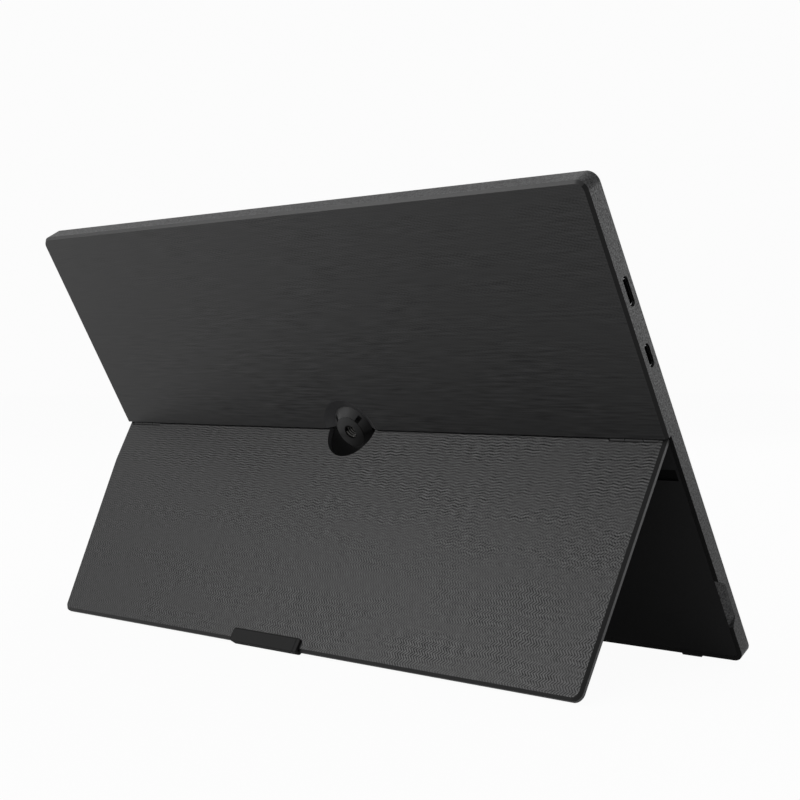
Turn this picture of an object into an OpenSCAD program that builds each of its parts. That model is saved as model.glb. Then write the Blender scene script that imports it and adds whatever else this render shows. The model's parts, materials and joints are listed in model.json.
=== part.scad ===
// Portable monitor, seen from behind, standing on a full-width folding stand.
// The stand folds flush into the lower half of the back and carries a cut-out
// around the tripod socket.
// Body frame: x across (ports at -x), y from the screen to the back, z up the panel.

/* [Display] */
// Width of the lit area
active_w = 344.2; // [300:0.1:400]
// Height of the lit area
active_h = 193.6; // [180:0.1:230]
// Border from the lit area to the outside, on each side
side_border = 7.9; // [6:0.1:15]
// Border above the lit area, to the outside
top_border = 9.9; // [7:0.1:15]
// Border below the lit area, to the outside
chin_h = 24; // [22:0.1:35]
// Glass beyond the lit area on each side
glass_border = 1.2; // [0.8:0.1:1.3]
// Glass beyond the lit area below, where its drivers sit
driver_border = 4.5; // [3:0.1:4.6]
// Bezel in front of the display glass
bezel_t = 0.9; // [0.6:0.1:1.1]
// Display glass with its polarisers
lcd_t = 1.3; // [1:0.1:1.4]
// Light guide, films and tray behind the glass
backlight_t = 2.2; // [1.8:0.1:2.3]
// Aluminium chassis sheet
chassis_t = 0.6; // [0.5:0.1:0.7]

/* [Monitor] */
// Thickness from the screen side to the textured back
body_t = 9.6; // [9.2:0.1:12]
// Radius of the four outer corners
corner_r = 5; // [3:0.5:10]
// Depth of the grey side face, from the screen side to the bevel
side_t = 8.2; // [7.8:0.1:8.8]
// Width of the bevel round the textured back
bevel_w = 1.2; // [0.8:0.1:2]
// Wall of the side frame
wall = 2.2; // [1.8:0.1:2.6]
// Wall of the matte lower case
case_wall = 1; // [0.8:0.1:1.2]

/* [Stand] */
// Height of the hinge line above the monitor's bottom edge
hinge_h = 111.9; // [90:0.1:125]
// Thickness of the stand
stand_t = 2.7; // [2.5:0.1:2.9]
// How far the stand lies inside the monitor's sides
stand_inset = 1.5; // [0.8:0.1:3]
// How far the closed stand reaches below the monitor, as a finger lip
stand_drop = 0.8; // [0:0.1:1.5]
// Radius of the stand's two lower corners
stand_corner = 4; // [2:0.5:8]
// Where the slanted edge starts, below the hinge
slant_start = 24; // [15:1:40]
// How far the edge runs inwards from the hinge to the stand's lower end
slant_in = 19.6; // [10:0.1:30]
// How much of that lies above the start of the slanted edge
shoulder_in = 2; // [0:0.1:4]
// Opening angle as it stands
open_angle = 60.5; // [40:0.5:75]
// Gap between the closed stand and the monitor
stand_gap = 0.3; // [0.3:0.05:0.4]
// Gap above the hinge, which lets the stand open to a right angle
top_gap = 0.5; // [0.5:0.05:0.8]

/* [Hinges] */
// Distance of each hinge from the monitor's side
hinge_side = 17; // [16:0.5:40]
// Width of a hinge leaf
leaf_w = 24; // [18:1:26]
// Length of the leaf down the stand
leaf_l = 22; // [20:1:30]
// Thickness of the leaf
leaf_t = 0.8; // [0.6:0.1:0.9]
// Length of the knuckle that the bracket carries
knuckle_l = 9; // [6:0.5:10]
// Radius of the hinge pin
pin_r = 0.65; // [0.6:0.05:0.7]
// Radial clearance of the pin in the bracket's knuckle
pin_fit = 0.05; // [0.02:0.01:0.08]
// Gap between two knuckles
knuckle_gap = 0.3; // [0.3:0.05:0.5]
// Thickness of the steel bracket
bracket_t = 0.6; // [0.4:0.05:0.6]
// Length of the bracket above the hinge line
bracket_l = 12; // [9:0.5:12]
// Distance of the relief slots in the back below the hinge line
relief_drop = 17.4; // [15:0.1:18]
// Height of the relief slots
relief_h = 5.4; // [5:0.1:7]
// Length of the relief slots
relief_w = 27; // [25:0.5:27]
// Depth of the relief slots
relief_d = 0.7; // [0.6:0.05:0.8]

/* [Tripod socket] */
// Place of the socket across the back, from the middle
tripod_x = 1; // [-3:0.5:3]
// Height of the socket above the hinge line
tripod_rise = 0.8; // [0:0.1:2]
// Radius of the boss at its face
boss_r = 8.2; // [7.6:0.1:9]
// Radius of the boss at its foot
boss_foot_r = 12.2; // [11.5:0.1:12.5]
// How far the boss stands out from the back
boss_proud = 1; // [0.4:0.1:2]
// Radius of the dish in the back round the boss
dish_r = 17; // [16:0.1:18]
// Depth of the dish
dish_d = 2.2; // [1.5:0.1:2.5]
// Radius of the cut-out in the stand
cutout_r = 15.5; // [15:0.1:18]
// Turn of the boss's two grooves from upright
groove_turn = 48.5; // [40:0.5:60]
// Width of the grooves
groove_w = 2.3; // [1.8:0.1:2.6]
// Length of the grooves, out from the boss's face
groove_l = 2.8; // [2.4:0.1:3.4]
// Radius of the tripod thread's wall
thread_r = 3.2; // [3.1:0.05:3.3]
// Depth of the tripod thread
thread_l = 4.5; // [4:0.1:4.8]
// Outer radius of the metal insert
insert_r = 4.4; // [4.2:0.1:5]

/* [Ports] */
// Depth of the port centres behind the screen side
port_y = 4.1; // [4:0.1:4.3]
// Height of the small reversible port above the hinge line
data_port_rise = 37.5; // [34:0.1:50]
// Distance from the small port up to the wide video port
port_pitch = 28.4; // [16:0.1:45]
// Length of the wide port's opening in the side
video_slot = 13; // [12.4:0.1:14]
// Length of the small port's opening in the side
data_slot = 10.4; // [9.6:0.1:11]
// Width of both openings
slot_w = 3.4; // [3.3:0.1:3.8]
// Outer length of the wide socket's shell
video_shell = 11.2; // [10.8:0.1:11.6]
// Outer length of the small socket's shell
data_shell = 8.94; // [8.8:0.02:9]
// Outer width of both shells
shell_w = 3.16; // [3:0.02:3.2]
// Sheet of the socket shells
shell_t = 0.3; // [0.25:0.05:0.35]
// Length of both sockets
socket_l = 5.4; // [5:0.1:5.6]
// How far the sockets lie behind the side face
socket_inset = 0.8; // [0.4:0.1:1]

/* [Buttons] */
// Height of the lowest button above the hinge line
button_rise = 38.1; // [34:0.1:50]
// Distance between buttons
button_pitch = 14; // [12:0.5:18]
// Length of the buttons' caps
button_l = 9; // [7:0.5:10]
// Width of the buttons' caps
button_w = 2.6; // [2:0.1:3]
// Gap between a cap and the side frame
button_gap = 0.25; // [0.2:0.05:0.4]
// Travel of a button
button_travel = 0.5; // [0.3:0.1:0.6]

/* [Boards] */
// Width of the main board
board_w = 92; // [70:1:120]
// Main board below the small port
board_below = 24; // [12:0.5:28]
// Main board above the wide port
board_above = 22; // [12:0.5:28]
// Thickness of the main board
board_t = 0.8; // [0.6:0.1:1]
// Distance of the board's posts from its edges
post_inset = 5; // [4:0.5:8]
// Distance of the posts beside the ports from the ports' side
post_side = 12; // [9:0.5:16]
// Width of the display's driver board
timing_w = 180; // [120:1:220]
// Height of the driver board
timing_h = 11; // [8:0.5:12]
// Thickness of the driver board
timing_t = 0.9; // [0.6:0.1:1.2]
// Distance of the driver board from the side with the ports
timing_side = 60; // [40:1:70]
// Width of the flat cable
cable_w = 20; // [12:0.5:30]
// Thickness of the flat cable
cable_t = 0.25; // [0.2:0.05:0.4]
// Distance of the flat cable's middle from the side with the ports
cable_side = 75; // [72:1:80]

/* [Feet and scoop] */
// Distance of the monitor's rubber feet from its sides
foot_side = 27.2; // [20:0.1:60]
// Length of a rubber foot
foot_l = 9.6; // [8:0.1:20]
// Depth of a rubber foot, across the edge
foot_w = 4.4; // [3:0.1:4.6]
// How far the rubber feet stand out
foot_h = 1.7; // [1:0.1:2.5]
// Place of the stand's rubber foot across the stand
pad_x = 0; // [-10:0.5:10]
// Length of the stand's rubber foot
pad_l = 45.4; // [30:0.1:60]
// Height of the stand's rubber foot up the outer face
pad_face = 5.5; // [4:0.1:9]
// How far it stands out from the outer face
pad_proud = 1.1; // [0.6:0.1:1.6]
// How far it reaches below the stand's end
pad_drop = 1.2; // [0.8:0.1:2]
// Rounding of the rubber feet where they touch the table
rubber_r = 0.6; // [0.3:0.05:0.8]
// Height of the middle of the finger scoop above the bottom edge
scoop_z = 30; // [26:0.5:40]
// Length of the finger scoop along the side
scoop_l = 24; // [18:1:30]
// Width of the finger scoop across the back
scoop_w = 2; // [1.4:0.1:2.1]
// Depth of the finger scoop down the side face
scoop_d = 3.8; // [2.5:0.1:4.2]

/* [Hidden] */
$fn = 48;
over = 1;                       // how far a cut runs past what it cuts
fit = 0.2;                      // gap between fixed pieces that drop into each other

// layers from the screen to the back
lcd_y = bezel_t;
backlight_y = lcd_y + lcd_t;
chassis_y = backlight_y + backlight_t;
chassis_back = chassis_y + chassis_t;
floor_y = body_t - stand_t - stand_gap;        // face of the revealed lower back
case_y = floor_y - case_wall;                  // inside of the lower case

// monitor and display outline
body_w = active_w + 2 * side_border;
body_h = active_h + top_border + chin_h;
inner_w = body_w - 2 * wall;
glass_w = active_w + 2 * glass_border;
glass_top = body_h - top_border + glass_border;
glass_z = chin_h - driver_border;
strip_h = 3;                                   // lamp strip below the light guide

// stand, closed, in the body frame
pivot_y = body_t - stand_t / 2;
barrel_r = stand_t / 2;
seat_z = hinge_h + barrel_r + top_gap;         // lower edge of the textured back
stand_half = body_w / 2 - stand_inset;
shoulder_angle = atan2(shoulder_in, slant_start);
slant_angle = atan2(slant_in - shoulder_in, hinge_h - slant_start + stand_drop);
kink_z = hinge_h - slant_start;
kink_reach = stand_corner / (1 + cos(slant_angle - shoulder_angle));

// hinge
hinge_x = body_w / 2 - hinge_side;
bore_r = pin_r + pin_fit;
press_bore_r = pin_r + 0.02;
leaf_knuckle_l = (leaf_w - knuckle_l) / 2 - knuckle_gap;
relief_z = hinge_h - relief_drop;
web_t = 1.8;                                   // web that carries the bracket's knuckle

// tripod socket
boss_z = hinge_h + tripod_rise;
boss_face = body_t + boss_proud;
dish_y = body_t - dish_d;
dish_block_r = dish_r + 1.2;
insert_lip = 0.3;

// sockets and boards
data_port_h = hinge_h + data_port_rise;
video_port_h = data_port_h + port_pitch;
socket_x = -body_w / 2 + socket_inset;
board_y = port_y + shell_w / 2;
board_x = -inner_w / 2 + fit;
board_z = data_port_h - board_below;
board_h = video_port_h + board_above - board_z;
chip_t = 1;
post_r = 2.4;
port_clear = 2;                                // room in the chassis beside the sockets
timing_x = -body_w / 2 + timing_side;
timing_z = glass_z - strip_h - timing_h - 0.5;
cable_x = -body_w / 2 + cable_side;
cable_z = timing_z + timing_h / 2;
cable_over = 6;                                // how far the cable reaches over the main board

// buttons
button_h = hinge_h + button_rise;
buttons_mid = button_h + button_pitch;
buttons_span = 2 * button_pitch + button_l + 6;
button_flange = 0.8;                           // how far the flange overlaps the wall
flange_t = 0.7;
flange_x = inner_w / 2 - 0.2;                  // outer face of the flanges
switch_x = flange_x - flange_t - button_travel - 0.1;
strip_x = glass_w / 2 + 0.1;                   // chassis flange behind the button board

// feet
foot_x = body_w / 2 - foot_side;
foot_y1 = floor_y - 0.6;                       // back edge of the monitor's rubber feet
pad_plug_side = 4;                             // the plug is shorter than the pad at each end

// standing pose: both rubber edges are round and touch the table
rest_a = [foot_y1 - rubber_r, -foot_h + rubber_r];
pad_inner = [pivot_y - barrel_r + rubber_r, -stand_drop - pad_drop + rubber_r];
pad_outer = [body_t + pad_proud - rubber_r, -stand_drop - pad_drop + rubber_r];
rest_b = opened(pad_inner);
lean = atan2(rest_b[1] - rest_a[1], rest_b[0] - rest_a[0]);
far_y = leaned(opened(pad_outer))[0] + rubber_r;
stand_up = [0, -far_y / 2, rubber_r - leaned(rest_a)[1]];

// a point of the closed stand, once it is opened by open_angle
function opened(p) = let (dy = p[0] - pivot_y, dz = p[1] - hinge_h)
    [pivot_y + dy * cos(open_angle) - dz * sin(open_angle),
     hinge_h + dy * sin(open_angle) + dz * cos(open_angle)];
// a point of the body frame, once the monitor leans back
function leaned(p) = [p[0] * cos(lean) + p[1] * sin(lean), p[1] * cos(lean) - p[0] * sin(lean)];
// where the stand's slanted edge lies at height z
function slant_x(z) = stand_half - shoulder_in - (hinge_h - slant_start - z) * tan(slant_angle);
// the same for the short edge above it
function shoulder_x(z) = stand_half - (hinge_h - z) * tan(shoulder_angle);

// ---- places and profiles ----

// the whole monitor leans back on the table
module leaning() {
    translate(stand_up) rotate([-lean, 0, 0]) children();
}

// the stand, drawn closed, swings out about the hinge line
module swung() {
    leaning() translate([0, pivot_y, hinge_h]) rotate([open_angle, 0, 0])
        translate([0, -pivot_y, -hinge_h]) children();
}

// an outline in x and z, from y0 back to y1
module slab(y0, y1) {
    translate([0, y1, 0]) rotate([90, 0, 0]) linear_extrude(y1 - y0) children();
}

// a profile in y and z, from x0 to x1
module bar(x0, x1) {
    translate([x0, 0, 0]) rotate([90, 0, 90]) linear_extrude(x1 - x0) children();
}

// a round rod along x
module rod(x0, x1, y, z, r) {
    translate([x0, y, z]) rotate([0, 90, 0]) cylinder(h = x1 - x0, r = r);
}

// a round boss along y
module stud(x, z, y0, y1, r) {
    translate([x, y1, z]) rotate([90, 0, 0]) cylinder(h = y1 - y0, r = r);
}

// rounded rectangle, centred in x and standing on z = 0
module rounded(w, h, r) {
    translate([-w / 2 + r, 0]) square([w - 2 * r, h]);
    translate([-w / 2, r]) square([w, h - 2 * r]);
    for (x = [-1, 1], z = [r, h - r]) translate([x * (w / 2 - r), z]) circle(r);
}

// slot outline with round ends, long in its own y, centred
module stadium(l, w) {
    square([w, l - w], center = true);
    for (s = [-1, 1]) translate([0, s * (l - w) / 2]) circle(w / 2);
}

// a slot through a side wall, along x, long in z
module side_slot(x0, x1, y, z, l, w) {
    translate([x0, y, z]) rotate([90, 0, 90]) linear_extrude(x1 - x0) stadium(l, w);
}

// outline of the monitor, inset all round
module body_outline(inset) {
    translate([0, inset]) rounded(body_w - 2 * inset, body_h - 2 * inset, corner_r - inset);
}

// bevelled back of the monitor, from the grey side face to the back
module bevelled_back() {
    hull() {
        slab(side_t, side_t + 0.05) body_outline(0);
        slab(body_t - 0.05, body_t) body_outline(bevel_w);
    }
}

// the part of the back that the closed stand leaves to the monitor
module above_stand() {
    polygon([[-body_w, seat_z], [body_w, seat_z], [body_w, 2 * body_h], [-body_w, 2 * body_h]]);
}

// the corner beside the slanted edge, which the stand leaves to the monitor
module beside_slant() {
    top = hinge_h - slant_start;
    polygon([[slant_x(-2 * over) + stand_gap, -2 * over], [body_w, -2 * over], [body_w, top - stand_gap],
             [slant_x(top) + stand_gap, top - stand_gap]]);
}

// ---- monitor, root body ----

// finger scoop: a slanted cut along the back edge of the port side
module scoop_cut() {
    x0 = -body_w / 2;
    z0 = scoop_z - scoop_l / 2;
    z1 = scoop_z + scoop_l / 2;
    intersection() {
        translate([0, 0, z0 - over]) linear_extrude(scoop_l + 2 * over)
            polygon([[x0 - over, floor_y - scoop_d - over * scoop_d / scoop_w], [x0 - over, floor_y + over],
                     [x0 + scoop_w, floor_y + over], [x0 + scoop_w, floor_y]]);
        bar(x0 - over, x0 + scoop_w)
            polygon([[floor_y - 2 * scoop_d, z0 + scoop_d], [floor_y - 2 * scoop_d, z1 - scoop_d],
                     [floor_y - scoop_d, z1 - scoop_d], [floor_y, z1], [floor_y + over, z1],
                     [floor_y + over, z0], [floor_y, z0], [floor_y - scoop_d, z0 + scoop_d]]);
    }
}

// grey metal-look frame round the sides, with port and button openings
module side_frame() {
    color("dimgray") leaning() difference() {
        slab(0, side_t) body_outline(0);
        slab(-over, side_t + over) body_outline(wall);
        // lowered where the stand folds in
        slab(floor_y, side_t + over) difference() {
            translate([-body_w, -body_h]) square([2 * body_w, body_h + seat_z]);
            beside_slant();
        }
        side_slot(-body_w / 2 - over, -inner_w / 2 + over, port_y, video_port_h, video_slot, slot_w);
        side_slot(-body_w / 2 - over, -inner_w / 2 + over, port_y, data_port_h, data_slot, slot_w);
        for (i = [0:2])
            side_slot(inner_w / 2 - over, body_w / 2 + over, port_y, button_h + i * button_pitch,
                      button_l + 2 * button_gap, button_w + 2 * button_gap);
        scoop_cut();
        for (s = [-1, 1]) foot_block(s, -over, foot_l + 0.1, 0.1);
    }
}

// rubber foot's seat or body, up to its depth in the frame
module foot_block(side, bottom, length, grow) {
    y0 = foot_y1 - foot_w - grow;
    translate([side * foot_x - length / 2, y0, bottom])
        cube([length, foot_w + 2 * grow, wall / 2 - bottom]);
}

// black bezel in front of the glass, with a window whose edges slope to the glass
module front_bezel() {
    slope = bezel_t * 0.6;
    color([0.05, 0.05, 0.055]) leaning() difference() {
        slab(0, bezel_t) body_outline(wall + fit / 2);
        slab(-over, bezel_t + over) active_area(0);
        hull() {
            slab(-slope, -slope / 2) active_area(1.5 * slope);
            slab(slope / 2, slope) active_area(0);
        }
    }
}

module active_area(grow) {
    translate([-active_w / 2 - grow, chin_h - grow]) square([active_w + 2 * grow, active_h + 2 * grow]);
}

// display glass with its polarisers
module lcd_panel() {
    color([0.02, 0.02, 0.03]) leaning() slab(lcd_y, backlight_y) glass_outline(glass_z);
}

module glass_outline(z) {
    translate([-glass_w / 2, z]) square([glass_w, glass_top - z]);
}

// light guide and films in their tray, with the lamp strip along the bottom
module backlight_unit() {
    film_gap = 0.2;
    tray_rim = 1.5;
    color("gainsboro") leaning() difference() {
        slab(backlight_y, chassis_y) glass_outline(glass_z - strip_h);
        slab(backlight_y - over, backlight_y + film_gap)
            translate([-glass_w / 2 + tray_rim, chin_h])
                square([glass_w - 2 * tray_rim, active_h - tray_rim]);
    }
}

// aluminium sheet that carries the boards, the brackets and the display
module chassis_plate() {
    port_z0 = data_port_h - data_slot / 2 - port_clear;
    port_z1 = video_port_h + video_slot / 2 + port_clear;
    color("silver") leaning() difference() {
        union() {
            slab(chassis_y, chassis_back) body_outline(wall);
            // flange behind the button board
            translate([strip_x, chassis_y, buttons_mid - buttons_span / 2])
                cube([chassis_t, side_t - chassis_y - 0.4, buttons_span]);
            board_posts();
            insert_seat();
        }
        // clear of the sockets and of the buttons
        slab(chassis_y - over, chassis_back + over) {
            translate([-body_w / 2, port_z0]) square([body_w / 2 - glass_w / 2, port_z1 - port_z0]);
            translate([strip_x + chassis_t, buttons_mid - buttons_span / 2])
                square([body_w / 2, buttons_span]);
            translate([cable_x - cable_w / 2 - 1, cable_z - 0.6]) square([cable_w + 2, 1.6]);
        }
        for (s = [-1, 1], i = [-1, 1]) stud(bracket_screw_x(s, i), bracket_screw_z(), 0, body_t, 1.05);
        for (p = post_places()) stud(p[0], p[1], chassis_y - over, board_y + over, 0.8);
    }
}

function post_places() = [for (x = [board_x + post_side, board_x + board_w - post_inset],
                               z = [board_z + post_inset, board_z + board_h - post_inset]) [x, z]];
function bracket_screw_x(side, i) = side * hinge_x + i * leaf_w / 3;
function bracket_screw_z() = seat_z + 5;

// posts under the main board
module board_posts() {
    for (p = post_places()) stud(p[0], p[1], chassis_back - 0.1, board_y, post_r);
}

// collar that holds the tripod insert's foot
module insert_seat() {
    stud(tripod_x, boss_z, chassis_back - 0.1, chassis_back + 0.3, insert_r + 2);
}

// main board, with its chips and the two sockets' edge
module main_board() {
    color("darkgreen") leaning() union() {
        slab(board_y, board_y + board_t) difference() {
            translate([board_x, board_z]) square([board_w, board_h]);
            for (p = post_places()) translate(p) circle(0.8);
        }
        // scaler, power stage, memory and coils, as shares of the board
        for (c = [[0.33, 0.48, 0.15, 0.19, 1], [0.58, 0.54, 0.09, 0.15, 0.9], [0.33, 0.19, 0.08, 0.1, 0.8],
                  [0.72, 0.21, 0.11, 0.14, 1.2], [0.56, 0.19, 0.07, 0.08, 1.2], [0.18, 0.75, 0.06, 0.08, 0.8],
                  [0.8, 0.72, 0.13, 0.07, 1.1]])
            translate([board_x + c[0] * board_w, board_y + board_t / 2, board_z + c[1] * board_h])
                cube([c[2] * board_w, board_t / 2 + c[4] * chip_t, c[3] * board_h]);
    }
}

// driver board below the glass
module timing_board() {
    color("darkgreen") leaning() {
        slab(chassis_y - timing_t, chassis_y) translate([timing_x, timing_z]) square([timing_w, timing_h]);
    }
}

// flat cable from the driver board up to the main board
module panel_cable() {
    top = board_z + cable_over;
    color("orange") leaning() bar(cable_x - cable_w / 2, cable_x + cable_w / 2)
        polygon([[chassis_y, cable_z], [chassis_back, cable_z], [chassis_back, top], [board_y, top],
                 [board_y, top - cable_t], [chassis_back + cable_t, top - cable_t],
                 [chassis_back + cable_t, cable_z - cable_t], [chassis_y, cable_z - cable_t]]);
}

// metal socket in the side, with its tongue
module socket(z, shell, tongue, tongue_t) {
    back = socket_x + socket_l;
    color("silver") leaning() union() {
        difference() {
            side_slot(socket_x, back, port_y, z, shell, shell_w);
            side_slot(socket_x - over, back - 0.6, port_y, z, shell - 2 * shell_t, shell_w - 2 * shell_t);
        }
        translate([socket_x + 0.7, port_y - tongue_t / 2, z - tongue / 2])
            cube([socket_l - 1, tongue_t, tongue]);
    }
}

module video_socket() {
    socket(video_port_h, video_shell, video_shell * 0.72, 0.8);
}

module data_socket() {
    socket(data_port_h, data_shell, data_shell * 0.75, 0.7);
}

// strip with the buttons' switches, on the chassis flange
module button_board() {
    x0 = strip_x + chassis_t;
    board = 0.7;
    color("darkgreen") leaning() union() {
        translate([x0, chassis_y + 0.2, buttons_mid - buttons_span / 2 + 0.2])
            cube([board, side_t - chassis_y - 0.8, buttons_span - 0.4]);
        for (i = [0:2]) {
            z = button_h + i * button_pitch;
            translate([x0 + board - 0.05, chassis_y + 0.4, z - 1.6]) cube([0.4, 2.6, 3.2]);
            rod(x0 + board, switch_x, chassis_y + 1.2, z, 0.8);
        }
    }
}

// textured upper half of the back
module upper_cover() {
    color([0.13, 0.13, 0.135]) leaning() difference() {
        intersection() {
            union() {
                bevelled_back();
                stud(tripod_x, boss_z, floor_y + fit / 2, side_t + 0.1, dish_block_r);
            }
            slab(0, 2 * body_t) above_stand();
        }
        boss_dish();
    }
}

// the dish round the boss, down to the boss's foot
module boss_dish() {
    slope = (dish_r - boss_foot_r - fit / 2) / dish_d;
    stud(tripod_x, boss_z, 0, dish_y + 0.01, boss_foot_r + fit / 2);
    translate([tripod_x, dish_y, boss_z]) rotate([-90, 0, 0])
        cylinder(h = dish_d + over, r1 = boss_foot_r + fit / 2, r2 = dish_r + slope * over);
}

// matte case behind the folded stand, with the step that the stand folds against
module lower_case() {
    step_t = case_wall + 0.2;
    color([0.06, 0.06, 0.06]) leaning() difference() {
        union() {
            // floor behind the stand
            slab(case_y, floor_y) difference() {
                body_outline(wall + fit / 2);
                translate([-body_w, seat_z + step_t]) square([2 * body_w, body_h]);
            }
            // rim that stands on the chassis
            slab(chassis_back, floor_y) difference() {
                body_outline(wall + fit / 2);
                body_outline(wall + fit / 2 + 1);
                translate([-body_w, relief_z - relief_h]) square([2 * body_w, body_h]);
            }
            // step up to the textured back
            slab(case_y, side_t) intersection() {
                body_outline(wall + fit / 2);
                translate([-body_w, seat_z]) square([2 * body_w, step_t]);
            }
            // full-thickness corner beside the slanted edge
            intersection() {
                union() {
                    bevelled_back();
                    slab(floor_y, side_t) body_outline(wall + fit / 2);
                }
                slab(0, 2 * body_t) beside_slant();
            }
        }
        stud(tripod_x, boss_z, 0, 2 * body_t, boss_foot_r + fit / 2);
        // room for the dish in the textured back
        intersection() {
            stud(tripod_x, boss_z, floor_y, 2 * body_t, dish_block_r + fit / 2);
            slab(0, 2 * body_t) above_stand();
        }
        for (s = [-1, 1]) {
            // slot for the bracket's web, and the relief slot below it
            translate([s * hinge_x - knuckle_l / 2 - fit, 0, hinge_h - web_t / 2 - fit])
                cube([knuckle_l + 2 * fit, floor_y + 1, web_t + 2 * fit]);
            translate([s * hinge_x - relief_w / 2, floor_y - relief_d, relief_z - relief_h / 2])
                cube([relief_w, relief_d + over, relief_h]);
        }
    }
}

// round boss with a sloping flank and two finger slots, round the tripod thread
module tripod_boss() {
    lip = 0.3;
    color([0.09, 0.09, 0.09]) leaning() difference() {
        union() {
            stud(tripod_x, boss_z, chassis_back + 0.3, dish_y, boss_foot_r);
            translate([tripod_x, dish_y, boss_z]) rotate([-90, 0, 0])
                cylinder(h = boss_face - dish_y - lip, r1 = boss_foot_r, r2 = boss_r);
            stud(tripod_x, boss_z, boss_face - lip - 0.01, boss_face, boss_r);
        }
        stud(tripod_x, boss_z, 0, boss_face - insert_lip, insert_r + 0.02);
        stud(tripod_x, boss_z, 0, 2 * body_t, thread_r + 0.5);
        // grooves beside the lit part of the flank
        for (s = [-1, 1])
            translate([tripod_x, dish_y + 0.3, boss_z]) rotate([0, s * groove_turn, 0])
                translate([-groove_w / 2, 0, boss_r]) cube([groove_w, body_t, groove_l]);
    }
}

// threaded metal insert for a tripod screw
module tripod_insert() {
    y1 = boss_face - insert_lip;
    color("lightgray") leaning() difference() {
        stud(tripod_x, boss_z, chassis_back + 0.3, y1, insert_r);
        stud(tripod_x, boss_z, y1 - thread_l, y1 + over, thread_r);
    }
}

// steel bracket on the chassis, with the knuckle that holds the pin
module hinge_bracket(side) {
    x0 = side * hinge_x - leaf_w / 2;
    kx = side * hinge_x - knuckle_l / 2;
    color("darkslategray") leaning() difference() {
        union() {
            translate([x0, chassis_back, hinge_h - web_t / 2]) cube([leaf_w, bracket_t, bracket_l]);
            translate([kx, chassis_back, hinge_h - web_t / 2])
                cube([knuckle_l, pivot_y - chassis_back, web_t]);
            rod(kx, kx + knuckle_l, pivot_y, hinge_h, barrel_r);
        }
        rod(kx - over, kx + knuckle_l + over, pivot_y, hinge_h, bore_r);
        for (i = [-1, 1]) stud(bracket_screw_x(side, i), bracket_screw_z(), 0, body_t, 1.05);
    }
}

module hinge_bracket_left() {
    hinge_bracket(1);
}

module hinge_bracket_right() {
    hinge_bracket(-1);
}

// low-head screws that hold the brackets to the chassis
module bracket_screws() {
    head_y = chassis_back + bracket_t;
    color("gray") leaning() for (s = [-1, 1], i = [-1, 1]) {
        stud(bracket_screw_x(s, i), bracket_screw_z(), head_y, head_y + 0.8, 1.9);
        stud(bracket_screw_x(s, i), bracket_screw_z(), chassis_y + 0.1, head_y + 0.1, 0.95);
    }
}

// profile of a rubber edge: the corners that meet the table are round
module rubber_profile(y0, y1, z0, z1) {
    translate([y0, z0 + rubber_r]) square([y1 - y0, z1 - z0 - rubber_r]);
    translate([y0 + rubber_r, z0]) square([y1 - y0 - 2 * rubber_r, rubber_r + 0.1]);
    for (y = [y0 + rubber_r, y1 - rubber_r]) translate([y, z0 + rubber_r]) circle(rubber_r);
}

// two rubber feet under the monitor's bottom edge
module monitor_feet() {
    color([0.08, 0.08, 0.08]) leaning() for (s = [-1, 1])
        bar(s * foot_x - foot_l / 2, s * foot_x + foot_l / 2)
            rubber_profile(foot_y1 - foot_w, foot_y1, -foot_h, wall / 2);
}

// ---- buttons on the side, each its own body ----

module button(i) {
    z = button_h + i * button_pitch;
    color("dimgray") leaning() union() {
        side_slot(flange_x - flange_t, body_w / 2, port_y, z, button_l, button_w);
        side_slot(flange_x - flange_t, flange_x, port_y, z, button_l + 2 * button_flange,
                  button_w + 2 * button_flange);
    }
}

module power_button() {
    button(2);
}

module menu_button() {
    button(1);
}

module select_button() {
    button(0);
}

// ---- stand, drawn closed ----

// corners of the stand's outline: centre and radius, inset all round
function stand_corners(inset) = [
    [-stand_half + stand_corner, -stand_drop + stand_corner, stand_corner - inset],
    [stand_half - slant_in - stand_corner * tan(45 - slant_angle / 2), -stand_drop + stand_corner,
     stand_corner - inset],
    [slant_x(kink_z) - kink_reach * (cos(shoulder_angle) + cos(slant_angle)),
     kink_z + kink_reach * (sin(shoulder_angle) + sin(slant_angle)), stand_corner - inset]];

// outline of the stand, up to height top
module stand_outline(inset, top) {
    side = inset / cos(shoulder_angle);
    hull() {
        for (c = stand_corners(inset)) translate([c[0], c[1]]) circle(c[2], $fn = 32);
        polygon([[inset - stand_half, top - 1], [shoulder_x(top - 1) - side, top - 1],
                 [shoulder_x(top) - side, top], [inset - stand_half, top]]);
    }
}

// rounded top edge, half of the barrel
module top_edge(y0, y1) {
    intersection() {
        rod(-stand_half, stand_half, pivot_y, hinge_h, barrel_r);
        slab(y0, y1) translate([-body_w, 0]) square([2 * body_w, body_h]);
    }
}

// what both shells of the stand leave free
module stand_cuts() {
    // cut-out round the tripod socket
    stud(tripod_x, boss_z, 0, 2 * body_t, cutout_r);
    for (s = [-1, 1]) {
        // notch for the hinge knuckles
        translate([s * hinge_x - leaf_w / 2 - fit, 0, hinge_h - barrel_r - fit])
            cube([leaf_w + 2 * fit, 2 * body_t, 2 * barrel_r + 2 * fit]);
    }
}

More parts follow.
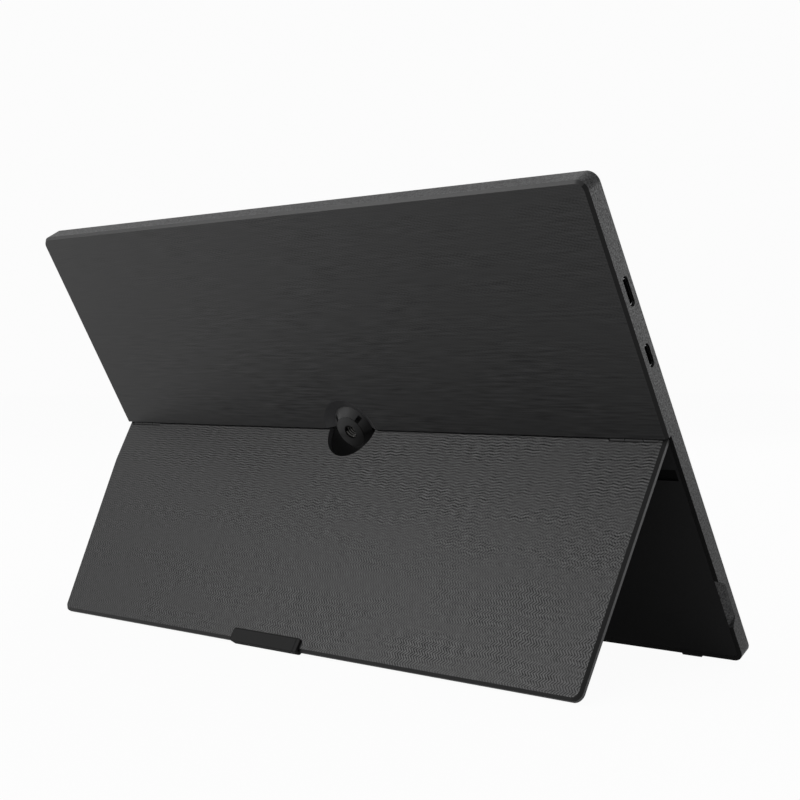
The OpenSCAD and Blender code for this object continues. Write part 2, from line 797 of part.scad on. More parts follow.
// grey inner half of the stand
module stand_tray() {
    y0 = pivot_y - barrel_r;
    color("dimgray") swung() difference() {
        union() {
            slab(y0, pivot_y) stand_outline(0, hinge_h);
            top_edge(y0, pivot_y);
        }
        stand_cuts();
        for (s = [-1, 1]) {
            // seat of the leaf, window of its rib, screw holes
            translate([s * hinge_x - leaf_w / 2 - fit, pivot_y - leaf_t, hinge_h - leaf_l - fit])
                cube([leaf_w + 2 * fit, leaf_t + over, leaf_l + 2 * fit]);
            rib_block(s, fit, y0 - over, pivot_y);
            for (i = [-1, 1]) {
                stud(leaf_screw_x(s, i), leaf_screw_z(), y0 - over, pivot_y, 0.95);
                stud(leaf_screw_x(s, i), leaf_screw_z(), y0 - over, y0 + 0.3, 1.8);
            }
        }
        pad_plug(fit / 2);
    }
}

// black outer half of the stand, bevelled round its edge
module stand_cover() {
    color([0.13, 0.13, 0.135]) swung() difference() {
        intersection() {
            hull() {
                slab(pivot_y, pivot_y + 0.05) stand_outline(0, hinge_h + barrel_r);
                slab(body_t - 0.05, body_t) stand_outline(bevel_w, hinge_h + barrel_r);
            }
            union() {
                slab(pivot_y, body_t) translate([-body_w, -body_h]) square([2 * body_w, body_h + hinge_h]);
                top_edge(pivot_y, body_t);
            }
        }
        stand_cuts();
        pad_plug(fit / 2);
    }
}

function leaf_screw_x(side, i) = side * hinge_x + i * leaf_w / 3;
function leaf_screw_z() = hinge_h - leaf_l / 2 + 3;

// rib of a leaf, which nests in the relief slot when closed
module rib_block(side, grow, y0, y1) {
    w = leaf_w - 2;
    h = relief_h - 1.6;
    translate([side * hinge_x - w / 2 - grow, y0, relief_z - h / 2 - grow])
        cube([w + 2 * grow, y1 - y0, h + 2 * grow]);
}

// steel leaf between the two shells, with its two knuckles
module hinge_leaf(side) {
    x0 = side * hinge_x - leaf_w / 2;
    color("darkslategray") swung() difference() {
        union() {
            translate([x0, pivot_y - leaf_t, hinge_h - leaf_l]) cube([leaf_w, leaf_t, leaf_l]);
            for (x = [x0, x0 + leaf_w - leaf_knuckle_l])
                rod(x, x + leaf_knuckle_l, pivot_y, hinge_h, barrel_r);
            rib_block(side, 0, floor_y - 0.4, pivot_y - leaf_t + 0.1);
        }
        // room for the bracket's knuckle
        translate([x0 + leaf_knuckle_l, 0, hinge_h - barrel_r - stand_gap])
            cube([leaf_w - 2 * leaf_knuckle_l, 2 * body_t, body_h]);
        rod(x0 - over, x0 + leaf_w + over, pivot_y, hinge_h, press_bore_r);
        for (i = [-1, 1]) stud(leaf_screw_x(side, i), leaf_screw_z(), 0, body_t, 0.85);
    }
}

module hinge_leaf_left() {
    hinge_leaf(1);
}

module hinge_leaf_right() {
    hinge_leaf(-1);
}

// pin through the three knuckles
module hinge_pin(side) {
    color("silver") swung() rod(side * hinge_x - leaf_w / 2 + 0.1, side * hinge_x + leaf_w / 2 - 0.1,
                                pivot_y, hinge_h, pin_r);
}

module hinge_pin_left() {
    hinge_pin(1);
}

module hinge_pin_right() {
    hinge_pin(-1);
}

// countersunk screws from the tray into the leaves
module leaf_screws() {
    y0 = pivot_y - barrel_r;
    color("gray") swung() for (s = [-1, 1], i = [-1, 1]) {
        stud(leaf_screw_x(s, i), leaf_screw_z(), y0, y0 + 0.3, 1.7);
        stud(leaf_screw_x(s, i), leaf_screw_z(), y0, pivot_y - 0.05, 0.8);
    }
}

// plug of the rubber pad, in the stand's lower end
module pad_plug(grow) {
    length = pad_l - 2 * pad_plug_side + 2 * grow;
    translate([pad_x - length / 2, pivot_y - 0.7 - grow, -stand_drop - over])
        cube([length, 1.4 + 2 * grow, 2.5 + over + grow]);
}

// rubber pad round the stand's lower end, with rounded corners
module stand_pad() {
    y0 = pivot_y - barrel_r;
    z0 = -stand_drop - pad_drop;
    color([0.16, 0.16, 0.16]) swung() union() {
        intersection() {
            union() {
                bar(pad_x - pad_l / 2, pad_x + pad_l / 2) union() {
                    rubber_profile(y0, body_t + pad_proud, z0, -stand_drop);
                    translate([body_t, -stand_drop - 0.1]) square([pad_proud, pad_face + 0.1]);
                }
            }
            slab(0, 2 * body_t) translate([pad_x, z0]) rounded(pad_l, pad_drop + pad_face, 1.5);
        }
        pad_plug(0);
    }
}

side_frame();
front_bezel();
lcd_panel();
backlight_unit();
chassis_plate();
main_board();
timing_board();
panel_cable();
video_socket();
data_socket();
button_board();
upper_cover();
lower_case();
tripod_boss();
tripod_insert();
hinge_bracket_left();
hinge_bracket_right();
bracket_screws();
monitor_feet();
power_button();
menu_button();
select_button();
stand_tray();
stand_cover();
stand_pad();
hinge_leaf_left();
hinge_leaf_right();
hinge_pin_left();
hinge_pin_right();
leaf_screws();
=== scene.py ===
import json
import math

import bmesh
import bpy
from mathutils import Euler, Matrix, Vector


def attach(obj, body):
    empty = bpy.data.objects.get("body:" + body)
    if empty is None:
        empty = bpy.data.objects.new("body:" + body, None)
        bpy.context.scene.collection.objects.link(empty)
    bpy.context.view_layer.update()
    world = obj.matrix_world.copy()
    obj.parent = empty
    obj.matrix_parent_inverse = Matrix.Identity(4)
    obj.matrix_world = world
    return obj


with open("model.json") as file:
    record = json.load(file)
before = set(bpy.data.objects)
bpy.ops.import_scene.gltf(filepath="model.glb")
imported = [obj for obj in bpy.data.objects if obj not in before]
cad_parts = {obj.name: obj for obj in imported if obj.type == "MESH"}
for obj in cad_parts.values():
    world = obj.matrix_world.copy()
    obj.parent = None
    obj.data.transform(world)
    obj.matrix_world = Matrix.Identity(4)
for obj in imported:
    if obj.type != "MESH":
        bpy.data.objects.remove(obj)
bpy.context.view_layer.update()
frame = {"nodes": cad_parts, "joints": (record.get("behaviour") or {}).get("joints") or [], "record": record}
nodes = frame["nodes"]

# ---- where the monitor and its stand lie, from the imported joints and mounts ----
# Lengths are in metres. X runs along the hinge line. A turned point is one that is turned about X so that
# Z runs up the back (or the stand) and Y out of it.

MM = 0.001
SOCKET = next(m for m in frame["record"]["mounts"] if m["name"] == "tripod_socket")
HINGE = next(j for j in frame["joints"] if j["name"] == "stand_hinge")
BACK_NORMAL = Vector(SOCKET["axis"])  # out of the monitor's back
LEAN = math.atan2(-BACK_NORMAL.z, BACK_NORMAL.y)  # how far the monitor leans back
OPEN = math.radians(-HINGE["range_deg"][0])  # how far the stand is open at rest
STAND_NORMAL = Matrix.Rotation(OPEN, 3, "X") @ BACK_NORMAL  # out of the stand's outer face
BODY_TURN = Euler((LEAN, 0, 0))
STAND_TURN = Euler((LEAN - OPEN, 0, 0))
HINGE_LINE = BODY_TURN.to_matrix() @ Vector(HINGE["pos_m"])  # turned
SOCKET_LEVEL = SOCKET["pos_m"][2] * math.cos(LEAN)  # about the socket's turned height

DISH_REACH = 19.5 * MM  # from the tripod socket to the rim of the dish round it
RELIEF_DEPTH = 1.85 * MM  # from the hinge line in to just above the floor of the case's relief slots
RELIEF_DROP = 17.4 * MM  # from the hinge line down to the middle of the relief slots
RELIEF_HALF = 3.0 * MM  # a little more than half a relief slot's height
PAD_RIM = 0.6 * MM  # width of the painted shade along the upper rim of the stand's pad
PAD_LINE = 0.42 * MM  # half the width of the lines of painted shade at the pad's ends and groove
PAD_GROOVE = 2.4 * MM  # from the pad's end to its groove


# ---- shader node helpers ----

def start_material(name):
    mat = bpy.data.materials.new(name)
    mat.use_nodes = True
    return mat, mat.node_tree, mat.node_tree.nodes["Principled BSDF"]


def add_node(tree, kind, **values):
    node = tree.nodes.new(kind)
    for key, value in values.items():
        setattr(node, key, value)
    return node


def feed(tree, socket, value):
    """Sets a plain number on a socket, or links an output that changes over the surface."""
    if isinstance(value, (int, float)):
        socket.default_value = value
    else:
        tree.links.new(value, socket)


def math_node(tree, operation, *values):
    node = add_node(tree, "ShaderNodeMath", operation=operation)
    for socket, value in zip(node.inputs, values):
        feed(tree, socket, value)
    return node.outputs[0]


def product(tree, first, *others):
    for other in others:
        first = math_node(tree, "MULTIPLY", first, other)
    return first


def total(tree, first, *others):
    for other in others:
        first = math_node(tree, "ADD", first, other)
    return first


def scaled(tree, value, gain, rest):
    """value * gain + rest."""
    return math_node(tree, "MULTIPLY_ADD", value, gain, rest)


def greatest(tree, a, b):
    return math_node(tree, "MAXIMUM", a, b)


def part_of(tree, vector):
    """The X, Y and Z of a vector."""
    split = add_node(tree, "ShaderNodeSeparateXYZ")
    tree.links.new(vector, split.inputs[0])
    return split.outputs


def ramp(tree, value, low, high, at_low, at_high):
    """A value that runs from at_low to at_high as the given one goes from low to high."""
    node = add_node(tree, "ShaderNodeMapRange")
    for label, source in (("From Min", low), ("From Max", high), ("To Min", at_low), ("To Max", at_high),
                          ("Value", value)):
        feed(tree, node.inputs[label], source)
    return node.outputs[0]


def placed_coordinates(tree, turn):
    coords = add_node(tree, "ShaderNodeTexCoord")
    mapping = add_node(tree, "ShaderNodeMapping")
    mapping.inputs["Rotation"].default_value = turn
    tree.links.new(coords.outputs["Object"], mapping.inputs["Vector"])
    return mapping.outputs[0]


def new_group(name, vectors, floats, results):
    """A node group with vector inputs, float inputs with their defaults, and float outputs."""
    group = bpy.data.node_groups.new(name, "ShaderNodeTree")
    for label in vectors:
        group.interface.new_socket(label, in_out="INPUT", socket_type="NodeSocketVector")
    for label, default in floats.items():
        socket = group.interface.new_socket(label, in_out="INPUT", socket_type="NodeSocketFloat")
        socket.default_value = default
    for label in results:
        group.interface.new_socket(label, in_out="OUTPUT", socket_type="NodeSocketFloat")
    return group, add_node(group, "NodeGroupInput").outputs, add_node(group, "NodeGroupOutput").inputs


def place_group(tree, group, links, **values):
    """Places a group. An underscore in the name of a value stands for a space in its input's name."""
    node = add_node(tree, "ShaderNodeGroup", node_tree=group)
    for label, source in links.items():
        tree.links.new(source, node.inputs[label])
    for label, value in values.items():
        node.inputs[label.replace("_", " ")].default_value = value
    return node.outputs


# ---- effects that several finishes share ----

def make_grain_group():
    """Fine grain of paint, moulded plastic or rubber: a colour factor, a height and a roughness shift."""
    blotches_per_metre, contrast = 28.0, 4.0
    group, given, result = new_group("fine_grain", ["Position"],
                                     {"Grain Size": 0.5 * MM, "Strength": 0.1, "Blotch": 0.03},
                                     ["Factor", "Height", "Shift"])
    fine = add_node(group, "ShaderNodeTexNoise")
    fine.inputs["Detail"].default_value = 2.0
    group.links.new(given["Position"], fine.inputs["Vector"])
    group.links.new(math_node(group, "DIVIDE", 1.0, given["Grain Size"]), fine.inputs["Scale"])
    broad = add_node(group, "ShaderNodeTexNoise")
    broad.inputs["Scale"].default_value = blotches_per_metre
    group.links.new(given["Position"], broad.inputs["Vector"])
    speck = math_node(group, "SUBTRACT", fine.outputs["Fac"], 0.5)
    cloud = math_node(group, "SUBTRACT", broad.outputs["Fac"], 0.5)
    both = total(group, product(group, speck, given["Strength"]), product(group, cloud, given["Blotch"]))
    group.links.new(scaled(group, both, contrast, 1.0), result["Factor"])
    group.links.new(fine.outputs["Fac"], result["Height"])
    group.links.new(cloud, result["Shift"])
    return group


def make_ripple_group():
    """Fine lines pressed across the back: zigzags, chevrons in rows, or streaks, of a varying depth."""
    group, given, result = new_group(
        "wavy_lines", ["Position"],
        {"Pitch": 1.4 * MM, "Slant": 0.4, "Fold": 1.0, "Chevron Step": 1.9 * MM, "Chevron Row": 5 * MM,
         "Chevron Share": 0.5, "Streak Length": 12 * MM, "Streak Share": 0.5, "Least Depth": 0.2},
        ["Relief"])
    place = part_of(group, given["Position"])
    across, up = place["X"], place["Z"]

    def stretched_noise(long, high, detail=1.0):
        """Noise with lumps of that length and height."""
        stretched = add_node(group, "ShaderNodeCombineXYZ")
        group.links.new(math_node(group, "DIVIDE", across, long), stretched.inputs["X"])
        group.links.new(math_node(group, "DIVIDE", up, high), stretched.inputs["Z"])
        noise = add_node(group, "ShaderNodeTexNoise")
        noise.inputs["Scale"].default_value = 1.0
        noise.inputs["Detail"].default_value = detail
        group.links.new(stretched.outputs[0], noise.inputs["Vector"])
        return noise.outputs["Fac"]

    def wave(turns):
        return math_node(group, "SINE", product(group, turns, 2 * math.pi))

    def blend(share, a, b):
        mix = add_node(group, "ShaderNodeMix", data_type="FLOAT")
        for label, source in (("Factor", share), ("A", a), ("B", b)):
            group.links.new(source, mix.inputs[label])
        return mix.outputs["Result"]

    # a slow shift of every line, in turns of its wave
    drift_turns, drift_length = 2.0, 6 * MM
    drift = product(group, stretched_noise(40 * MM, 30 * MM), drift_turns)

    # zigzag lines, which a finer noise breaks up
    past_the_edge = 0.5  # keeps the length that is folded above zero
    folded = total(group, product(group, drift, drift_length), across, past_the_edge)
    folded = math_node(group, "PINGPONG", folded, given["Fold"])
    rise = scaled(group, folded, given["Slant"], up)
    zigzag = wave(total(group, math_node(group, "DIVIDE", rise, given["Pitch"]), drift))
    zigzag = product(group, zigzag, scaled(group, stretched_noise(4 * MM, 3.5 * MM), 3.2, -0.75))

    # chevrons: steps along X that lean one way and then the other, row by row, and widen along X
    lean_turns, narrowing = 2.2, -0.6
    row = total(group, math_node(group, "DIVIDE", up, given["Chevron Row"]), drift)
    row = math_node(group, "PINGPONG", row, 0.5)
    spread = product(group, across, scaled(group, across, narrowing, 1.0))
    steps = math_node(group, "DIVIDE", spread, given["Chevron Step"])
    chevron = wave(total(group, steps, product(group, row, lean_turns), drift))

    # streaks: long thin lumps, from minus to plus their height
    streak_height = 2.5
    streak = scaled(group, stretched_noise(given["Streak Length"], 1.1 * MM), 2 * streak_height,
                    -streak_height)

    pattern = blend(given["Streak Share"], blend(given["Chevron Share"], zigzag, chevron), streak)
    patches = stretched_noise(50 * MM, 12 * MM, 2.0)
    depth = ramp(group, patches, 0.38, 0.62, given["Least Depth"], 1.0)
    group.links.new(product(group, pattern, depth), result["Relief"])
    return group


def make_face_group():
    """Masks from the way a face looks: the flat face, and faces that look up, which the finishes give their
    own painted light and shade.
    """
    flat_above, upper_above = 0.985, 0.05  # cosine to the flat face's normal, and upward part of a normal
    group, given, result = new_group("face_masks", ["Facing", "Normal"], {}, ["Flat", "Upper"])
    along = add_node(group, "ShaderNodeVectorMath", operation="DOT_PRODUCT")
    group.links.new(given["Facing"], along.inputs[0])
    group.links.new(given["Normal"], along.inputs[1])
    group.links.new(math_node(group, "GREATER_THAN", along.outputs["Value"], flat_above), result["Flat"])
    rise = part_of(group, given["Normal"])["Z"]
    group.links.new(math_node(group, "GREATER_THAN", rise, upper_above), result["Upper"])
    return group


GRAIN = make_grain_group()
RIPPLE = make_ripple_group()
FACE = make_face_group()


# ---- finishes ----

def tint(tree, shader, color, factor):
    """Base colour times a factor that changes over the surface."""
    mix = add_node(tree, "ShaderNodeVectorMath", operation="SCALE")
    mix.inputs[0].default_value = color
    tree.links.new(factor, mix.inputs["Scale"])
    tree.links.new(mix.outputs[0], shader.inputs["Base Color"])


def add_bump(tree, shader, height, depth):
    bump = add_node(tree, "ShaderNodeBump")
    bump.inputs["Distance"].default_value = depth
    tree.links.new(height, bump.inputs["Height"])
    tree.links.new(bump.outputs[0], shader.inputs["Normal"])


def start_grained(name, turn, size, strength, blotch):
    """A new material with turned coordinates and grain in them."""
    mat, tree, shader = start_material(name)
    position = placed_coordinates(tree, turn)
    grain = place_group(tree, GRAIN, {"Position": position}, Grain_Size=size, Strength=strength,
                        Blotch=blotch)
    return mat, tree, shader, position, grain


def set_gloss(tree, shader, rough, specular, coat=0.0, coat_rough=0.03):
    """Roughness and shine. A surface without a coat has the shader's own coat roughness."""
    for label, value in (("Roughness", rough), ("Specular IOR Level", specular), ("Coat Weight", coat),
                         ("Coat Roughness", coat_rough)):
        feed(tree, shader.inputs[label], value)


def grained(name, turn, color, rough, size=0.5 * MM, strength=0.1, blotch=0.03, depth=0.03 * MM,
            metallic=0.0, spread=0.1, specular=0.5, **coat):
    """A plain surface with fine grain: paint, moulded plastic, rubber, glass, sheet metal."""
    mat, tree, shader, _, grain = start_grained(name, turn, size, strength, blotch)
    tint(tree, shader, color, grain["Factor"])
    set_gloss(tree, shader, scaled(tree, grain["Shift"], spread, rough), specular, **coat)
    shader.inputs["Metallic"].default_value = metallic
    add_bump(tree, shader, grain["Height"], depth)
    return mat


def face_masks(tree, facing):
    coords = add_node(tree, "ShaderNodeTexCoord")
    return place_group(tree, FACE, {"Normal": coords.outputs["Normal"]}, Facing=facing)


def near_socket(tree, reach):
    """1 within reach of the tripod socket, 0 elsewhere."""
    coords = add_node(tree, "ShaderNodeTexCoord")
    apart = add_node(tree, "ShaderNodeVectorMath", operation="DISTANCE")
    tree.links.new(coords.outputs["Object"], apart.inputs[0])
    apart.inputs[1].default_value = SOCKET["pos_m"]
    return math_node(tree, "LESS_THAN", apart.outputs["Value"], reach)


def rippled(name, turn, facing, upper_lit, gain, by_height, painted_sheen, fade, edge, lines):
    """The black covers: fine lines that catch the light on the flat face, and smooth darker bevels.

    by_height, gloss and fade are ramps (low, high, at_low, at_high). The first two run up the cover, for
    values of the lines and for the shine, and fade runs along X, for the lines' strength. gloss is a painted
    sheen:
    on the back the coat is weaker low down, toward the hinge. edge is the share of the shine that a bevel
    keeps.
    With upper_lit, bevels that look up keep all of it and their full colour too, which is painted light from
    above.
    """
    mat, tree, shader, position, grain = start_grained(name, turn, 0.7 * MM, 0.02, 0.01)
    place = part_of(tree, position)
    masks = face_masks(tree, facing)
    flat = masks["Flat"]
    dish = product(tree, near_socket(tree, DISH_REACH), math_node(tree, "SUBTRACT", 1.0, flat))
    # full tone and shine on the flat face and the dish; with upper_lit, bevels that look up get them too, as
    # painted light from above
    lit = greatest(tree, greatest(tree, flat, dish), masks["Upper"] if upper_lit else 0.0)
    links = {label: ramp(tree, place["Z"], *span) for label, span in by_height.items()}
    ripple = place_group(tree, RIPPLE, {"Position": position, **links}, **lines)
    relief = product(tree, ripple["Relief"], flat, gain, ramp(tree, place["X"], *fade))
    bevel_share, dish_painted_light = 0.5, 3.0  # bevels are darker; the dish's colour gets painted light, to offset the shade of its slope
    shade = product(tree, scaled(tree, relief, 0.5, grain["Factor"]),
                    scaled(tree, lit, 1.0 - bevel_share, bevel_share))
    tint(tree, shader, (0.011, 0.011, 0.0115), scaled(tree, dish, dish_painted_light, shade))
    rough = scaled(tree, relief, -0.05, scaled(tree, lit, 0.1, 0.36))
    # painted sheen: the coat follows a ramp up the cover
    coat = product(tree, scaled(tree, relief, 0.55, 0.62), ramp(tree, place["Z"], *painted_sheen),
                   scaled(tree, lit, 1.0 - edge, edge))
    set_gloss(tree, shader, rough, 0.15, coat, 0.4)
    add_bump(tree, shader, relief, 0.006 * MM)
    return mat


def painted_frame(name):
    """Dark grey frame paint with fine speckles, black on the faces that look back beside the case, with
    painted light and shade in colour and coat: the side lighter high up and darker low down, the top darker
    toward -X.
    """
    # painted shade ramps (low, high, at_low, at_high): up the side by height, along the top by X
    side_painted_shade, top_painted_shade = (0.06, 0.14, 0.84, 1.06), (-0.05, 0.12, 0.82, 0.95)
    mat, tree, shader, position, grain = start_grained(name, BODY_TURN, 0.7 * MM, 0.95, 0.02)
    place = part_of(tree, position)
    masks = face_masks(tree, BACK_NORMAL)
    rim = masks["Flat"]
    side = ramp(tree, place["Z"], *side_painted_shade)
    top = ramp(tree, place["X"], *top_painted_shade)
    # painted light and shade: the top's ramp on faces that look up, the side's elsewhere; it scales the
    # colour and the coat
    shine = scaled(tree, math_node(tree, "SUBTRACT", top, side), masks["Upper"], side)
    speckle_and_painted_shade = product(tree, grain["Factor"], shine)
    tint(tree, shader, (0.035, 0.0355, 0.0365), product(tree, speckle_and_painted_shade, scaled(tree, rim, -0.85, 1.0)))
    rough = scaled(tree, grain["Shift"], 0.1, scaled(tree, rim, 0.3, 0.42))
    coat = product(tree, scaled(tree, rim, -0.5, 0.5), speckle_and_painted_shade)
    set_gloss(tree, shader, rough, 0.15, coat, 0.42)
    add_bump(tree, shader, grain["Height"], 0.02 * MM)
    return mat


def boss_plastic(name):
    """Smooth black plastic of the boss, with painted light and shade in its colour and coat: lighter toward
    the top, darker toward the side that faces down and to the ports.
    """
    below, above, lean_over = 8 * MM, 11 * MM, 1.1
    mat, tree, shader, position, grain = start_grained(name, BODY_TURN, 0.5 * MM, 0.06, 0.03)
    place = part_of(tree, position)
    # painted light and shade: colour and coat run from dark low down and toward the ports to light high up
    level = scaled(tree, place["X"], lean_over, place["Z"])
    light = ramp(tree, level, SOCKET_LEVEL - below, SOCKET_LEVEL + above, 0.15, 1.6)
    tint(tree, shader, (0.016, 0.016, 0.0165), product(tree, light, grain["Factor"]))
    rough = scaled(tree, grain["Shift"], 0.1, 0.38)
    set_gloss(tree, shader, rough, 0.1, product(tree, light, 0.6), 0.35)
    add_bump(tree, shader, grain["Height"], 0.01 * MM)
    return mat


def case_plastic(name):
    """Matt black plastic of the lower case, with painted shade in its relief slots: a darker colour and no
    coat there.
    """
    mat, tree, shader, position, grain = start_grained(name, BODY_TURN, 0.6 * MM, 0.1, 0.04)
    place = part_of(tree, position)
    sunk = math_node(tree, "LESS_THAN", place["Y"], HINGE_LINE.y - RELIEF_DEPTH)
    level = math_node(tree, "SUBTRACT", place["Z"], HINGE_LINE.z - RELIEF_DROP)
    beside = math_node(tree, "LESS_THAN", math_node(tree, "ABSOLUTE", level), RELIEF_HALF)
    slot = product(tree, sunk, beside)
    tint(tree, shader, (0.018, 0.018, 0.0185), product(tree, grain["Factor"], scaled(tree, slot, -0.9, 1.0)))
    rough = scaled(tree, grain["Shift"], 0.05, 0.8)
    set_gloss(tree, shader, rough, 0.1, scaled(tree, slot, -0.1, 0.1), 0.6)
    add_bump(tree, shader, grain["Height"], 0.02 * MM)
    return mat


def pad_rubber(name):
    """Dark grey rubber of the stand's pad, with painted shade: a darker rim along its upper edge and darker
    lines at its ends and at a groove near one end.
    """
    turned = [STAND_TURN.to_matrix() @ v.co for v in nodes["stand_pad"].data.vertices]
    low, high, top = min(p.x for p in turned), max(p.x for p in turned), max(p.z for p in turned)
    mat, tree, shader, position, grain = start_grained(name, STAND_TURN, 0.5 * MM, 0.1, 0.05)
    place = part_of(tree, position)
    painted_shade_mask = math_node(tree, "GREATER_THAN", place["Z"], top - PAD_RIM)
    for middle in (low, high, low + PAD_GROOVE):
        away = math_node(tree, "ABSOLUTE", math_node(tree, "SUBTRACT", place["X"], middle))
        painted_shade_mask = greatest(tree, painted_shade_mask, math_node(tree, "LESS_THAN", away, PAD_LINE))
    shade = product(tree, grain["Factor"], scaled(tree, painted_shade_mask, -0.8, 1.0))
    tint(tree, shader, (0.0135, 0.0135, 0.0138), shade)
    set_gloss(tree, shader, scaled(tree, grain["Shift"], 0.1, 0.7), 0.22)
    add_bump(tree, shader, grain["Height"], 0.03 * MM)
    return mat


# the back's bevels that look up get painted light, and the coat ramps up each cover are painted sheen, weaker
# toward the hinge on the back
BACK_LINES = {
    "gain": 0.55, "edge": 0.25, "upper_lit": True,
    "by_height": {"Streak Share": (0.1, 0.17, 0.9, 0.4)},
    "painted_sheen": (0.09, 0.2, 0.72, 1.12),
    "fade": (0.02, 0.15, 1.0, 0.35),
    "lines": {"Pitch": 1.3 * MM, "Slant": -0.25, "Chevron_Step": 2.1 * MM, "Chevron_Row": 4 * MM,
              "Chevron_Share": 0.4, "Streak_Length": 16 * MM, "Least_Depth": 0.3},
}
STAND_LINES = {
    "gain": 1.7, "edge": 0.55, "upper_lit": False,
    "by_height": {"Chevron Share": (0.01, 0.06, 0.9, 0.15), "Slant": (0.01, 0.075, 0.38, 0.14)},
    "painted_sheen": (-0.03, 0.08, 1.0, 0.98),
    "fade": (0.0, 0.15, 1.0, 0.65),
    "lines": {"Pitch": 1.4 * MM, "Fold": 3.6 * MM, "Chevron_Step": 1.7 * MM, "Chevron_Row": 3.4 * MM,
              "Streak_Share": 0.25, "Streak_Length": 4 * MM, "Least_Depth": 0.4},
}
BOTH_BODIES = {
    "hinge_steel": dict(color=(0.022, 0.022, 0.0225), rough=0.42, size=0.6 * MM, strength=0.08, blotch=0.05,
                        depth=0.01 * MM),
    "screw_steel": dict(color=(0.13, 0.13, 0.134), rough=0.35, size=0.4 * MM, strength=0.08, blotch=0.04,
                        depth=0.01 * MM, metallic=0.9),
}
BODY_ONLY = {
    "bezel_black": dict(color=(0.02, 0.02, 0.0205), rough=0.5, size=0.4 * MM, strength=0.08),
    "display_glass": dict(color=(0.003, 0.0032, 0.004), rough=0.3, size=0.3 * MM, strength=0.02, blotch=0.02,
                          depth=0.004 * MM, spread=0.06, specular=0.3, coat=0.1, coat_rough=0.2),
    "light_guide": dict(color=(0.78, 0.79, 0.8), rough=0.4, size=0.8 * MM, strength=0.02),
    "sheet_aluminium": dict(color=(0.55, 0.56, 0.57), rough=0.36, size=0.7 * MM, strength=0.06, blotch=0.05,
                            depth=0.01 * MM, metallic=1.0),
    "board": dict(color=(0.02, 0.1, 0.045), rough=0.42, size=1.2 * MM, strength=0.12, blotch=0.08),
    "flat_cable": dict(color=(0.5, 0.22, 0.04), rough=0.4, size=0.9 * MM, strength=0.05, blotch=0.05),
    "plated_steel": dict(color=(0.16, 0.16, 0.165), rough=0.3, size=0.4 * MM, strength=0.04, blotch=0.04,
                         depth=0.006 * MM, metallic=1.0),
    "insert_metal": dict(color=(0.02, 0.0195, 0.019), rough=0.3, size=0.4 * MM, strength=0.06, blotch=0.05,
                         depth=0.01 * MM, metallic=1.0),
    "thread_metal": dict(color=(0.07, 0.069, 0.067), rough=0.2, size=0.4 * MM, strength=0.06, blotch=0.05,
                         depth=0.01 * MM, metallic=1.0),
    "rubber_black": dict(color=(0.003, 0.003, 0.003), rough=0.75, strength=0.12, blotch=0.05, specular=0.3),
}
STAND_ONLY = {
    "pin_steel": dict(color=(0.5, 0.5, 0.51), rough=0.25, size=0.4 * MM, strength=0.04, depth=0.005 * MM,
                      metallic=1.0),
    "frame_paint": dict(color=(0.05, 0.0505, 0.052), rough=0.45, size=0.9 * MM, strength=0.3, blotch=0.02,
                        depth=0.02 * MM),
}


def grained_palette(turn, looks, tag=""):
    return {name: grained(name + tag, turn, **look) for name, look in looks.items()}


body_finish = {
    "frame_paint": painted_frame("frame_paint_body"),
    "textured_black": rippled("textured_black_body", BODY_TURN, BACK_NORMAL, **BACK_LINES),
    "case_black": case_plastic("case_black"),
    "boss_black": boss_plastic("boss_black"),
    **grained_palette(BODY_TURN, BOTH_BODIES, "_body"),
    **grained_palette(BODY_TURN, BODY_ONLY),
}
stand_finish = {
    "textured_black": rippled("textured_black_stand", STAND_TURN, STAND_NORMAL, **STAND_LINES),
    "rubber_grey": pad_rubber("rubber_grey"),
    **grained_palette(STAND_TURN, BOTH_BODIES | STAND_ONLY, "_stand"),
}

slot_of = {s["node"]: s["material_slot"] for s in frame["record"]["subparts"]}
stand_nodes = frame["record"]["behaviour"]["bodies"]["stand"]
for name, obj in nodes.items():
    palette = stand_finish if name in stand_nodes else body_finish
    for index in range(len(obj.data.materials)):
        obj.data.materials[index] = palette[slot_of[name]]


# ---- pieces that the CAD leaves plain ----

def mesh_object(name, bm, material):
    mesh = bpy.data.meshes.new(name)
    bm.to_mesh(mesh)
    bm.free()
    mesh.materials.append(material)
    obj = bpy.data.objects.new(name, mesh)
    bpy.context.scene.collection.objects.link(obj)
    return obj


def finish_piece(name, bm, body, material):
    obj = mesh_object(name, bm, material)
    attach(obj, body)
    return obj


def fix_order(bm):
    """Sorts edges and faces by their vertices, because spin leaves them in an order that changes each run."""
    def number(part):
        value = 0
        for index in sorted(v.index for v in part.verts)[:3]:
            value = value * len(bm.verts) + index
        return value

    bm.verts.index_update()
    bm.edges.sort(key=number)
    bm.faces.sort(key=number)


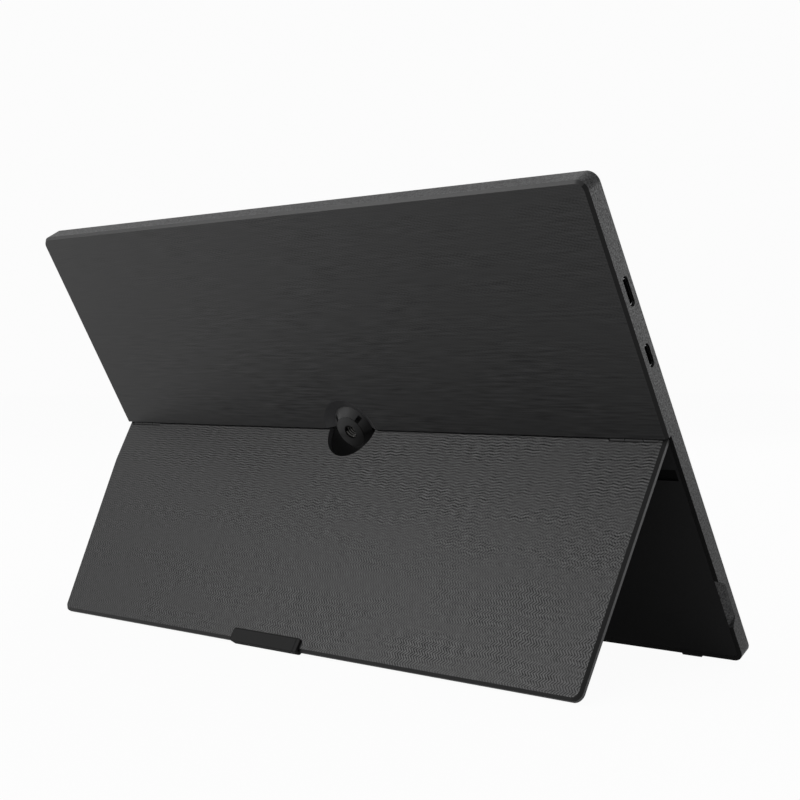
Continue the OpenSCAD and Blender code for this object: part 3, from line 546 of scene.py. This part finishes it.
def tripod_thread():
    """Quarter-inch thread turns on the wall of the insert's bore."""
    pitch, turns, steps_per_turn = 1.27 * MM, 3.2, 40
    wall_r, crest_r = 3.22 * MM, 2.68 * MM
    root_half, crest_half = 0.45 * pitch, 0.08 * pitch  # half a ridge's width at its root and at its crest
    first_turn = 1.5 * MM  # out from the socket's point
    bm = bmesh.new()
    profile = [(wall_r, -root_half), (crest_r, -crest_half), (crest_r, crest_half), (wall_r, root_half)]
    verts = [bm.verts.new((r, h, 0)) for r, h in profile]
    edges = [bm.edges.new((verts[i], verts[(i + 1) % 4])) for i in range(4)]
    steps = int(steps_per_turn * turns)
    bmesh.ops.spin(bm, geom=verts + edges, cent=(0, 0, 0), axis=(0, 1, 0), angle=2 * math.pi * turns,
                   steps=steps, dvec=(0, -pitch * turns / steps, 0))
    bmesh.ops.holes_fill(bm, edges=[e for e in bm.edges if e.is_boundary], sides=4)
    bmesh.ops.recalc_face_normals(bm, faces=bm.faces)
    fix_order(bm)
    mouth = Vector(SOCKET["pos_m"]) + BACK_NORMAL * first_turn
    place = Matrix.Translation(mouth) @ Matrix.Rotation(-LEAN, 4, "X")
    bmesh.ops.transform(bm, matrix=place, verts=bm.verts)
    return finish_piece("tripod_thread", bm, "monitor", body_finish["thread_metal"])


tripod_thread()


# ---- floor, light and camera ----

def seen_share(tree, glossy):
    """1 for rays from the camera or through glass, the given share for reflections, 0 for the rest."""
    path = add_node(tree, "ShaderNodeLightPath").outputs
    seen = greatest(tree, path["Is Camera Ray"], path["Is Transmission Ray"])
    return greatest(tree, seen, product(tree, path["Is Glossy Ray"], glossy))


def stage_floor(grey=0.6, glossy=0.3, glow_share=0.957):
    """A pale floor that keeps the shadow. Its glow, seen by the camera, brings it near the world's tone."""
    mat, tree, shader = start_material("floor_white")
    shader.inputs["Base Color"].default_value = (grey, grey, grey, 1)
    shader.inputs["Roughness"].default_value = 0.9
    shader.inputs["Specular IOR Level"].default_value = 0.0
    glow = add_node(tree, "ShaderNodeEmission")
    glow.inputs["Color"].default_value = (1, 1, 1, 1)
    mix = add_node(tree, "ShaderNodeMixShader")
    tree.links.new(product(tree, seen_share(tree, glossy), glow_share), mix.inputs["Fac"])
    tree.links.new(shader.outputs[0], mix.inputs[1])
    tree.links.new(glow.outputs[0], mix.inputs[2])
    tree.links.new(mix.outputs[0], tree.nodes["Material Output"].inputs["Surface"])
    bm = bmesh.new()
    bmesh.ops.create_grid(bm, x_segments=1, y_segments=1, size=6.0)
    obj = mesh_object("floor", bm, mat)


def studio_world(tone=0.972, glossy=0.5, otherwise=0.45):
    """A near-white background that lights the object less than it shows."""
    world = bpy.data.worlds.new("studio")
    bpy.context.scene.world = world
    world.use_nodes = True
    tree = world.node_tree
    background = tree.nodes["Background"]
    background.inputs["Color"].default_value = (tone, tone, tone, 1)
    tree.links.new(greatest(tree, seen_share(tree, glossy), otherwise), background.inputs["Strength"])


def soft_lamp(name, place, aim_height, size, watts):
    data = bpy.data.lights.new(name, "AREA")
    data.shape = "DISK"
    data.size = size
    data.energy = watts
    obj = bpy.data.objects.new(name, data)
    obj.location = place
    aim = Vector((0, 0, aim_height)) - Vector(place)
    obj.rotation_euler = aim.to_track_quat("-Z", "Y").to_euler()
    bpy.context.scene.collection.objects.link(obj)


def photo_camera():
    """The photograph's own view, from a fit to the outline of the monitor."""
    data = bpy.data.cameras.new("photo_view")
    data.sensor_width = 36.0
    data.lens = 69.28
    data.clip_start = 0.01
    obj = bpy.data.objects.new("photo_view", data)
    obj.location = (-0.528277, 0.523274, 0.128231)
    obj.rotation_euler = Euler([math.radians(a) for a in (88.79704, 0.30568, -136.3708)])
    bpy.context.scene.collection.objects.link(obj)
    bpy.context.scene.camera = obj


stage_floor()
studio_world()
# name, place, height of the aim above the origin, diameter, watts
for lamp in (("key", (1.0, 1.2, 1.05), 0.05, 0.9, 7), ("top", (-0.3, 0.6, 2.2), 0.05, 1.2, 15),
             ("side", (-1.35, -1.65, 0.3), 0.15, 0.8, 3.5), ("front", (0.6, -1.6, 1.2), 0.1, 1.2, 8)):
    soft_lamp(*lamp)
photo_camera()
bpy.context.scene.view_settings.view_transform = "Standard"
